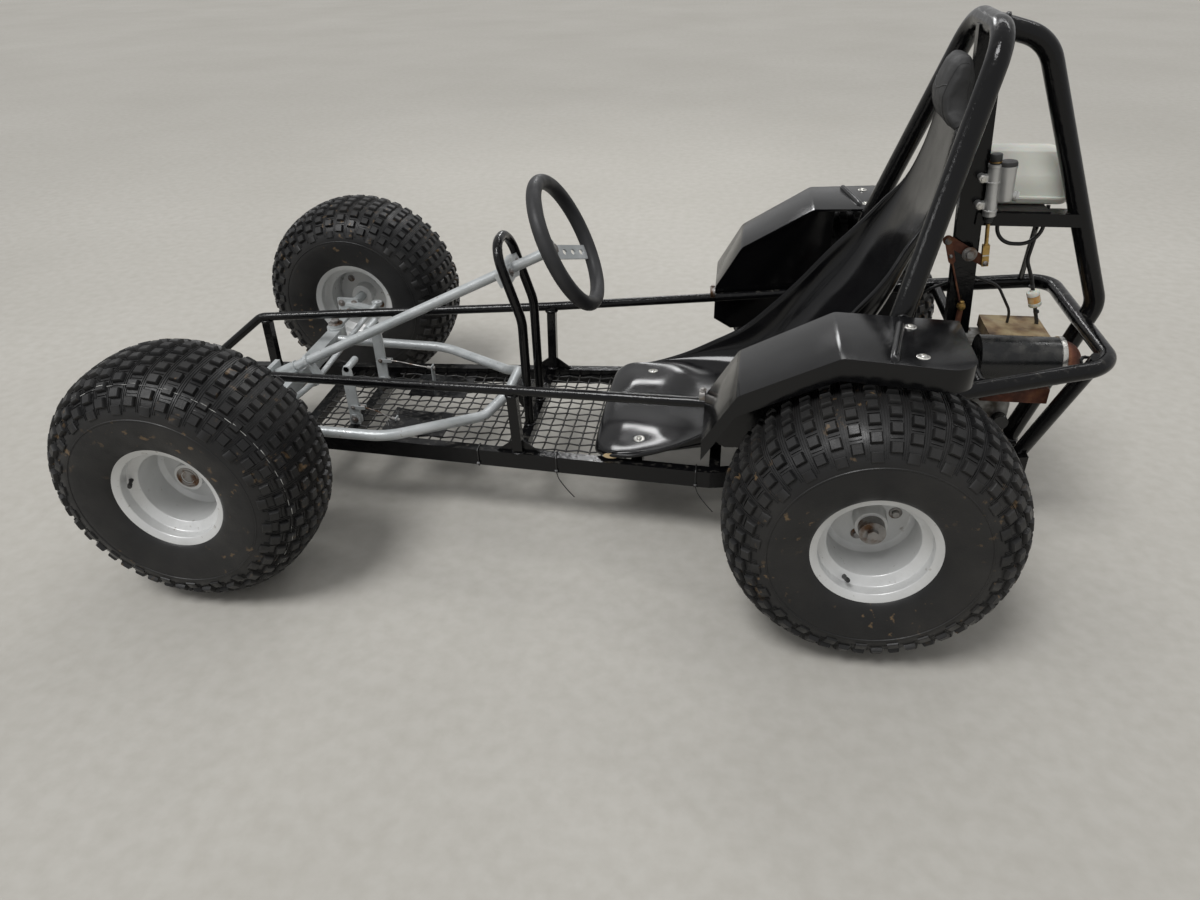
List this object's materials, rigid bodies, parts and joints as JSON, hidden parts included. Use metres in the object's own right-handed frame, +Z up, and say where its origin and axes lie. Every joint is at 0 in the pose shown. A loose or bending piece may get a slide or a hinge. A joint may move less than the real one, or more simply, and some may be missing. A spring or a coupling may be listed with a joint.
{
  "type": "racing kart",
  "caption": "Off-road racing kart with a welded tube frame, roll hoop, bucket seat, fenders, knobby balloon tyres, beam front axle and a rear engine on a live axle.",
  "frame": {"origin": "on the floor, at the middle of the kart's length and width", "axes": "-X is the front, +Y the kart's right side, +Z up"},
  "size_m": [2.2001, 1.2504, 1.064],
  "materials": {
    "frame_paint": "gloss",
    "silver_paint": "satin",
    "rim_paint": "satin",
    "tyre_rubber": "matte",
    "mesh_wire": "satin",
    "worn_steel": "worn",
    "seat_shell": "gloss",
    "pad_cover": "satin",
    "grip_rubber": "matte",
    "engine_cast": "rough",
    "engine_black": "satin",
    "rusty_steel": "rusty",
    "brass": "worn",
    "hose_rubber": "satin",
    "filter_plastic": "gloss",
    "guard_plate": "heat stained",
    "tank_plastic": "satin",
    "cap_plastic": "satin",
    "cast_aluminium": "satin"
  },
  "bodies": {
    "chassis": {"floor_rails": "frame_paint", "floor_cross_members": "frame_paint", "rear_loop": "frame_paint", "upper_rails": "frame_paint", "rail_posts": "frame_paint", "steering_hoop": "frame_paint", "arm_bracket": "frame_paint", "main_hoop": "frame_paint", "rear_stay": "frame_paint", "rear_strut": "frame_paint", "loop_cross_tube": "frame_paint", "seat_post": "frame_paint", "tank_bar": "frame_paint", "tank_tray": "frame_paint", "fender_supports": "frame_paint", "axle_carriers": "frame_paint", "engine_plate": "frame_paint", "pedals": "frame_paint", "front_beam": "silver_paint", "beam_pivot": "silver_paint", "radius_arm": "silver_paint", "column_bearing": "silver_paint", "mesh_long_wires": "mesh_wire", "mesh_cross_wires": "mesh_wire", "heel_plates": "worn_steel", "chain": "worn_steel", "engine_sprocket": "worn_steel", "brake_caliper": "worn_steel", "seat": "seat_shell", "fenders": "seat_shell", "headrest_pad": "pad_cover", "engine_case": "engine_cast", "engine_cylinder": "engine_cast", "flywheel_cover": "engine_black", "oil_cap": "engine_black", "muffler": "engine_black", "exhaust_bracket": "rusty_steel", "bell_crank": "rusty_steel", "crank_rod": "brass", "fuel_hoses": "hose_rubber", "throttle_cable": "hose_rubber", "fuel_filter": "filter_plastic", "muffler_guard": "guard_plate", "fuel_tank": "tank_plastic", "tank_cap": "cap_plastic", "master_cylinder": "cast_aluminium"},
    "steering_column": {"steering_column": "silver_paint", "wheel_grip": "grip_rubber", "wheel_spokes": "silver_paint"},
    "knuckle_left": {"knuckle_left": "silver_paint"},
    "knuckle_right": {"knuckle_right": "silver_paint"},
    "tie_rod_left": {"tie_rod_left": "silver_paint"},
    "tie_rod_right": {"tie_rod_right": "silver_paint"},
    "front_wheel_left": {"tyre_front_left": "tyre_rubber", "rim_front_left": "rim_paint"},
    "front_wheel_right": {"tyre_front_right": "tyre_rubber", "rim_front_right": "rim_paint"},
    "rear_axle": {"rear_axle": "worn_steel", "tyres_rear": "tyre_rubber", "rims_rear": "rim_paint"}
  },
  "joints": [
    {"name": "column_turn", "type": "hinge", "parent": "chassis", "child": "steering_column", "pos_m": [-0.75211, 0, 0.265], "axis": [0.9018, 0, 0.4321], "range_deg": [-45, 45]},
    {"name": "steer_left", "type": "hinge", "parent": "chassis", "child": "knuckle_left", "pos_m": [-0.76311, -0.27, 0.228], "axis": [0, 0, 1], "range_deg": [-19, 19]},
    {"name": "steer_right", "type": "hinge", "parent": "chassis", "child": "knuckle_right", "pos_m": [-0.76311, 0.27, 0.228], "axis": [0, 0, 1], "range_deg": [-19, 19]},
    {"name": "tie_left", "type": "hinge", "parent": "knuckle_left", "child": "tie_rod_left", "pos_m": [-0.64511, -0.302, 0.312], "axis": [0, 0, 1], "range_deg": [-18, 18]},
    {"name": "tie_right", "type": "hinge", "parent": "knuckle_right", "child": "tie_rod_right", "pos_m": [-0.64511, 0.302, 0.312], "axis": [0, 0, 1], "range_deg": [-18, 18]},
    {"name": "spin_front_left", "type": "hinge", "parent": "knuckle_left", "child": "front_wheel_left", "pos_m": [-0.74911, -0.487, 0.273], "axis": [0, 1, 0], "continuous": true},
    {"name": "spin_front_right", "type": "hinge", "parent": "knuckle_right", "child": "front_wheel_right", "pos_m": [-0.74911, 0.487, 0.273], "axis": [0, 1, 0], "continuous": true},
    {"name": "spin_rear", "type": "hinge", "parent": "chassis", "child": "rear_axle", "pos_m": [0.59989, 0, 0.273], "axis": [0, 1, 0], "continuous": true}
  ],
  "couplings": [
    {"joint": "steer_left", "follows": "column_turn", "ratio": 0.4035},
    {"joint": "steer_right", "follows": "column_turn", "ratio": 0.4035},
    {"joint": "tie_left", "follows": "column_turn", "ratio": -0.3591},
    {"joint": "tie_right", "follows": "column_turn", "ratio": -0.3591}
  ]
}
